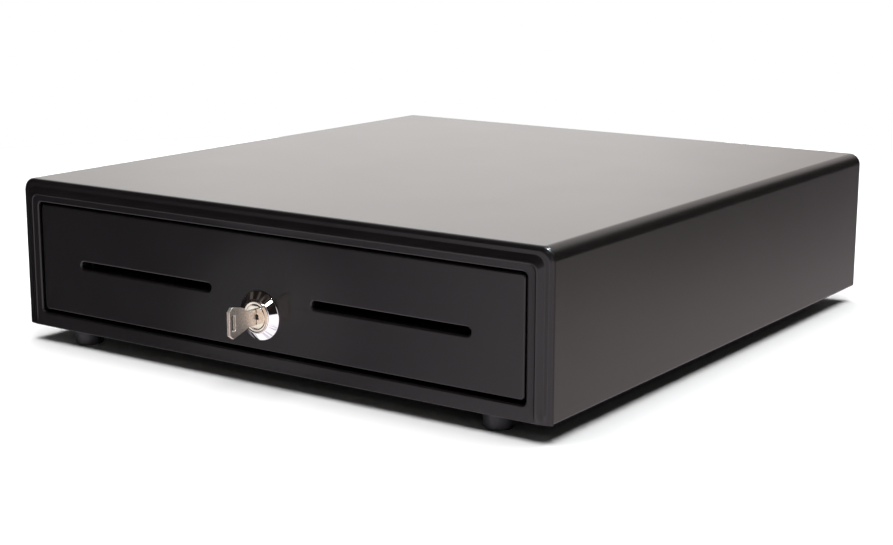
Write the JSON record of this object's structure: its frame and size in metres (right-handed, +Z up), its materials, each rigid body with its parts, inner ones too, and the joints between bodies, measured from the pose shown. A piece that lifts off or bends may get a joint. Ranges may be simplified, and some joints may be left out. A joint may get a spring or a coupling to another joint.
{
  "type": "cash drawer",
  "caption": "Black steel cash drawer on rubber feet, with media slots, a key lock, ball slides, a solenoid latch and a bill and coin till.",
  "frame": {"origin": "on the ground, at the centre of the object's box with the key in the lock and the drawer shut", "axes": "+X to the user's right, +Y from the drawer front to the back panel, +Z up"},
  "size_m": [0.41, 0.4584, 0.1095],
  "materials": {
    "black_paint": "satin",
    "black_moulding": "satin",
    "zinc_plate": "satin",
    "bright_steel": "polished",
    "chrome": "polished",
    "nickel": "satin",
    "foot_rubber": "matte",
    "till_plastic": "satin",
    "copper_winding": "satin",
    "board_green": "gloss",
    "spring_steel": "satin"
  },
  "bodies": {
    "case": {"case_cover": "black_paint", "case_base": "zinc_plate", "rear_panel": "black_paint", "front_bezel": "black_moulding", "case_screws": "zinc_plate", "foot_front_left": "foot_rubber", "foot_front_right": "foot_rubber", "foot_rear_left": "foot_rubber", "foot_rear_right": "foot_rubber", "foot_screws": "zinc_plate", "rail_bracket_left": "zinc_plate", "rail_bracket_right": "zinc_plate", "rail_outer_left": "zinc_plate", "rail_outer_right": "zinc_plate", "rail_rivets": "zinc_plate", "stop_buffers": "foot_rubber", "lock_catch": "zinc_plate", "latch_bracket": "zinc_plate", "latch_pivot_pin": "bright_steel", "latch_spring": "spring_steel", "solenoid_frame": "zinc_plate", "solenoid_coil": "copper_winding", "switch_bracket": "zinc_plate", "switch_body": "black_moulding", "switch_screws": "zinc_plate", "kick_guide": "zinc_plate", "kick_spring": "spring_steel", "kick_cap": "black_moulding", "interface_board": "board_green", "board_spacers": "zinc_plate", "interface_jack": "black_moulding", "wiring_harness": "foot_rubber"},
    "drawer": {"drawer_front": "black_moulding", "drawer_tray": "zinc_plate", "tray_screws": "zinc_plate", "rail_inner_left": "zinc_plate", "rail_inner_right": "zinc_plate", "striker": "bright_steel", "lock_escutcheon": "chrome", "lock_body": "nickel", "lock_nut": "zinc_plate", "till_rests": "zinc_plate", "till_body": "till_plastic", "coin_cups": "till_plastic", "bill_dividers": "till_plastic", "clip_rod": "bright_steel"},
    "lock_plug": {"lock_plug": "nickel", "lock_cam": "zinc_plate", "cam_screw": "zinc_plate"},
    "key": {"key": "nickel"},
    "latch": {"latch_lever": "zinc_plate"},
    "plunger": {"solenoid_plunger": "bright_steel"},
    "switch_leaf": {"switch_lever": "bright_steel"},
    "cage_left": {"rail_cage_left": "zinc_plate"},
    "cage_right": {"rail_cage_right": "zinc_plate"},
    "clip_1": {"bill_clip_1": "spring_steel"},
    "clip_2": {"bill_clip_2": "spring_steel"},
    "clip_3": {"bill_clip_3": "spring_steel"},
    "clip_4": {"bill_clip_4": "spring_steel"},
    "clip_5": {"bill_clip_5": "spring_steel"}
  },
  "joints": [
    {"name": "drawer_slide", "type": "slide", "parent": "case", "child": "drawer", "axis": [0, -1, 0], "range_m": [0, 0.3]},
    {"name": "cage_slide_left", "type": "slide", "parent": "case", "child": "cage_left", "axis": [0, -1, 0], "range_m": [0, 0.15]},
    {"name": "cage_slide_right", "type": "slide", "parent": "case", "child": "cage_right", "axis": [0, -1, 0], "range_m": [0, 0.15]},
    {"name": "lock_turn", "type": "hinge", "parent": "drawer", "child": "lock_plug", "pos_m": [0, -0.20075, 0.0444], "axis": [0, 1, 0], "range_deg": [0, 90]},
    {"name": "key_pull", "type": "slide", "parent": "lock_plug", "child": "key", "axis": [0, -1, 0], "range_m": [0, 0.024]},
    {"name": "latch_pivot", "type": "hinge", "parent": "case", "child": "latch", "pos_m": [-0.008, 0.21325, 0.035], "axis": [0, 0, 1], "range_deg": [0, 15], "deforming": ["latch_spring"]},
    {"name": "plunger_slide", "type": "slide", "parent": "case", "child": "plunger", "axis": [1, 0, 0], "range_m": [0, 0.0047]},
    {"name": "switch_press", "type": "hinge", "parent": "case", "child": "switch_leaf", "pos_m": [0.09075, 0.17855, 0.044], "axis": [0, 0, 1], "range_deg": [0, 5], "stiffness_Nm_per_rad": 0.01},
    {"name": "bill_clip_lift_1", "type": "hinge", "parent": "drawer", "child": "clip_1", "pos_m": [-0.13624, 0.08725, 0.0892], "axis": [-1, 0, 0], "range_deg": [0, 24], "stiffness_Nm_per_rad": 0.02, "springref_deg": -22.92},
    {"name": "bill_clip_lift_2", "type": "hinge", "parent": "drawer", "child": "clip_2", "pos_m": [-0.06812, 0.08725, 0.0892], "axis": [-1, 0, 0], "range_deg": [0, 24], "stiffness_Nm_per_rad": 0.02, "springref_deg": -22.92},
    {"name": "bill_clip_lift_3", "type": "hinge", "parent": "drawer", "child": "clip_3", "pos_m": [0, 0.08725, 0.0892], "axis": [-1, 0, 0], "range_deg": [0, 24], "stiffness_Nm_per_rad": 0.02, "springref_deg": -22.92},
    {"name": "bill_clip_lift_4", "type": "hinge", "parent": "drawer", "child": "clip_4", "pos_m": [0.06812, 0.08725, 0.0892], "axis": [-1, 0, 0], "range_deg": [0, 24], "stiffness_Nm_per_rad": 0.02, "springref_deg": -22.92},
    {"name": "bill_clip_lift_5", "type": "hinge", "parent": "drawer", "child": "clip_5", "pos_m": [0.13624, 0.08725, 0.0892], "axis": [-1, 0, 0], "range_deg": [0, 24], "stiffness_Nm_per_rad": 0.02, "springref_deg": -22.92}
  ],
  "couplings": [
    {"joint": "cage_slide_left", "follows": "drawer_slide", "ratio": 0.5},
    {"joint": "cage_slide_right", "follows": "drawer_slide", "ratio": 0.5},
    {"joint": "plunger_slide", "follows": "latch_pivot", "m_per_rad": 0.01753}
  ]
}
